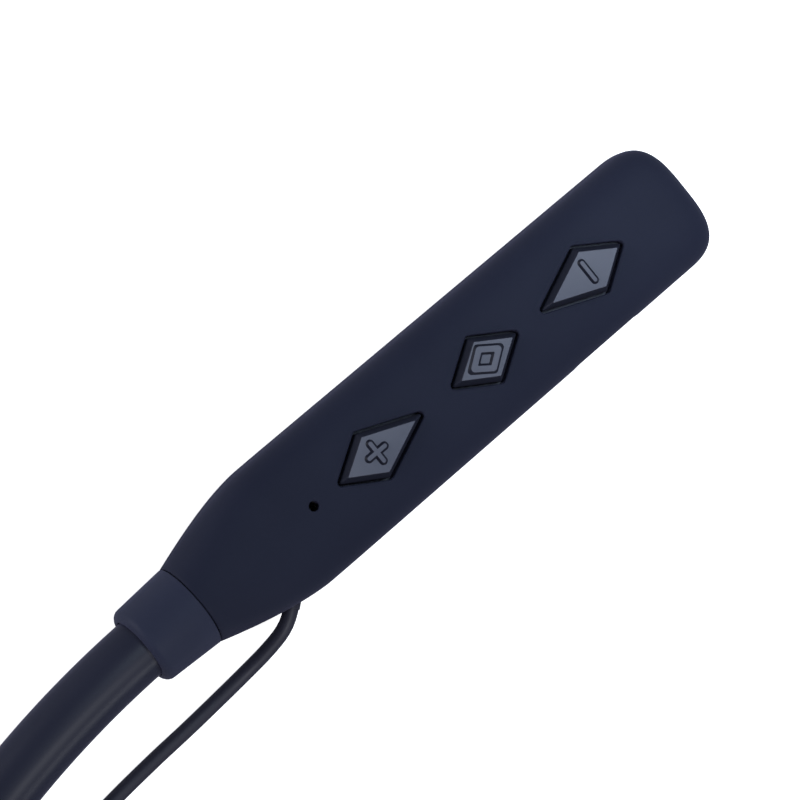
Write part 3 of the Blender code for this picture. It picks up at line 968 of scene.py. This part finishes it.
def make_port_cover():
    form = bmesh.new()
    rows = []
    for inset, depth in FLAP_EDGE:
        line = slot_line(FLAP_LENGTH, FLAP_HEIGHT, FLAP_CORNER_R, inset)
        rows.append([at("left", s, side_n(s, z) - FLAP_SINK - depth, z) for s, z in line])
    line = slot_line(FLAP_LENGTH, FLAP_HEIGHT, FLAP_CORNER_R)
    back_n = side_n(PORT_S, POD_Z) - 1.4
    rows.append([at("left", s, back_n, z) for s, z in line])
    loft(form, rows, caps=(True, True))
    plug = [
        [at("left", s, back_n - depth, z) for s, z in slot_line(FLAP_LENGTH - 3.2, 1.7, 0.6, inset)]
        for depth, inset in ((-0.1, 0), (0.5, 0), (0.6, 0.1))
    ]
    loft(form, plug, caps=(True, True))
    cover = new_object("port_flap_cover", form, "flap")
    place_piece(cover, "port_flap", "band_silicone", "port_cover")


# Leads and earbuds


def curve_through(route, step):
    """Points about this far apart on a smooth curve through the route's places."""
    places = [Vector(place) for place in route]
    ends = [2 * places[0] - places[1], *places, 2 * places[-1] - places[-2]]
    found = [places[0]]
    for before, start, end, after in zip(ends, ends[1:], ends[2:], ends[3:]):
        count = max(1, round((end - start).length / step))
        for i in range(1, count + 1):
            t = i / count
            bend = (2 * before - 5 * start + 4 * end - after) * t * t
            twist = (3 * start - before - 3 * end + after) * t**3
            found.append((2 * start + (end - before) * t + bend + twist) / 2)
    return found


def make_lead(side):
    curve = bpy.data.curves.new(f"{side}_lead_cable", "CURVE")
    curve.dimensions = "3D"
    curve.bevel_depth = LEAD_R * MM
    curve.bevel_resolution = 6
    curve.use_fill_caps = True
    route = [LEAD_START, *LEAD_ROUTE, LEAD_END]
    points = [at(side, *place) for place in curve_through(route, 0.8)]
    spline = curve.splines.new("POLY")
    spline.points.add(len(points) - 1)
    for point, place in zip(spline.points, points):
        point.co = (*place, 1)
    spline.use_smooth = True
    lead = bpy.data.objects.new(f"{side}_lead_cable", curve)
    bpy.context.scene.collection.objects.link(lead)
    curve.materials.append(MATERIALS["cable"])
    place_piece(lead, f"{side}_arm", "cable_jacket", f"{side}_lead")
    return lead


def bud_pieces(side):
    """The earbud's visible pieces, turned about its nozzle's axis. Returns those on the arm."""
    matrix = Matrix.Translation(at(side, *BUD_PLACE))
    matrix = matrix @ Matrix.Rotation(radians(90 * SIDES[side]), 4, "Y")
    front = [
        (2.5, 9.0, 0.15),
        (2.5, 4.6, 0.5),
        (4.6, 3.5, 1.2),
        (5.75, 1.6, 1.2),
        (6.0, 0.12, 0.1),
        (5.0, 0.12, 0),
        (4.6, 1.5, 0),
        (3.4, 2.6, 0),
        (1.6, 3.8, 0),
        (1.6, 9.0, 0.15),
    ]
    rear = [
        (0, -4.0, 0),
        (3.6, -4.0, 0),
        (4.6, -3.3, 0),
        (5.0, -2.3, 0),
        (5.0, 0.0, 0),
        (6.0, 0.0, 0.12),
        (6.0, -2.9, 1.2),
        (5.0, -4.6, 0.5),
        (4.3, -4.6, 0.1),
        (4.15, -4.75, 0.08),
        (4.0, -5.0, 0.15),
        (0, -5.0, 0),
    ]
    tip = [
        (2.8, 10.2, 0.4),
        (4.2, 10.2, 1.0),
        (5.4, 8.4, 2.2),
        (6.0, 4.7, 0.15),
        (5.55, 4.7, 0.15),
        (5.1, 7.0, 1.6),
        (4.2, 8.6, 0.8),
        (3.5, 8.6, 0.2),
        (3.5, 4.9, 0.2),
        (2.8, 4.9, 0.2),
    ]
    arm = f"{side}_arm"
    front_piece = turned(f"{side}_front_shell", "bud", soften(front), matrix, ring=True)
    rear_piece = turned(f"{side}_rear_shell", "bud", soften(rear, closed=False), matrix)
    tip_piece = turned(f"{side}_silicone_tip", "ear_tip", soften(tip), matrix, ring=True)
    place_piece(front_piece, arm, "earbud_shell", f"{side}_bud_front")
    place_piece(rear_piece, arm, "earbud_shell", f"{side}_bud_rear")
    place_piece(tip_piece, f"{side}_tip", "ear_tip_silicone", f"{side}_ear_tip")
    s, n, z = BUD_PLACE
    base = Matrix.Translation(at(side, s, n + BOOT_BACK, z)) @ Matrix.Rotation(radians(-90), 4, "X")
    boot = [(0, 13.7, 0), (1.15, 13.7, 0.15)]
    for i in range(4):
        z = 13.0 - 1.3 * i
        boot += [(1.3 + 0.08 * i, z, 0.1), (1.3 + 0.08 * i, z - 0.7, 0.1)]
        boot += [(1.1 + 0.08 * i, z - 0.75, 0), (1.1 + 0.08 * i, z - 1.2, 0)]
    boot += [(1.8, 7.6, 0.3), (1.95, 5.6, 0), (0, 5.6, 0)]
    boot_piece = turned(f"{side}_cable_boot", "cable", soften(boot, closed=False), base, steps=40)
    place_piece(boot_piece, arm, "cable_jacket", f"{side}_boot")
    return [front_piece, rear_piece, tip_piece, boot_piece]


def make_leads():
    for side in SIDES:
        lead = make_lead(side)
        pieces = bud_pieces(side)


# CAD nodes that stay


def finish_kept_nodes():
    looks = {
        "steel": ["minus_switch", "function_switch", "plus_switch", "microphone", "usb_socket"],
        "black": ["bluetooth_chip", "mic_gasket", "minus_plunger", "function_plunger", "plus_plunger"],
        "board": ["main_board", "protection_board"],
        "wrap": ["battery"],
        "foam": ["battery_pad"],
    }
    for side in SIDES:
        looks["steel"] += [f"{side}_wire_ferrule", f"{side}_driver"]
        looks.setdefault("magnet", []).append(f"{side}_magnet")
        looks.setdefault("grille", []).append(f"{side}_bud_mesh")
    for look, names in looks.items():
        for name in names:
            mesh = frame["nodes"][name].data
            mesh.materials.clear()
            mesh.materials.append(MATERIALS[look])


RIGHT, UP = make_camera()
MATERIALS = make_materials()
make_leads()
make_floor()
make_lights(RIGHT, UP)
make_band()
make_pods()
make_buttons()
make_port_cover()
finish_kept_nodes()
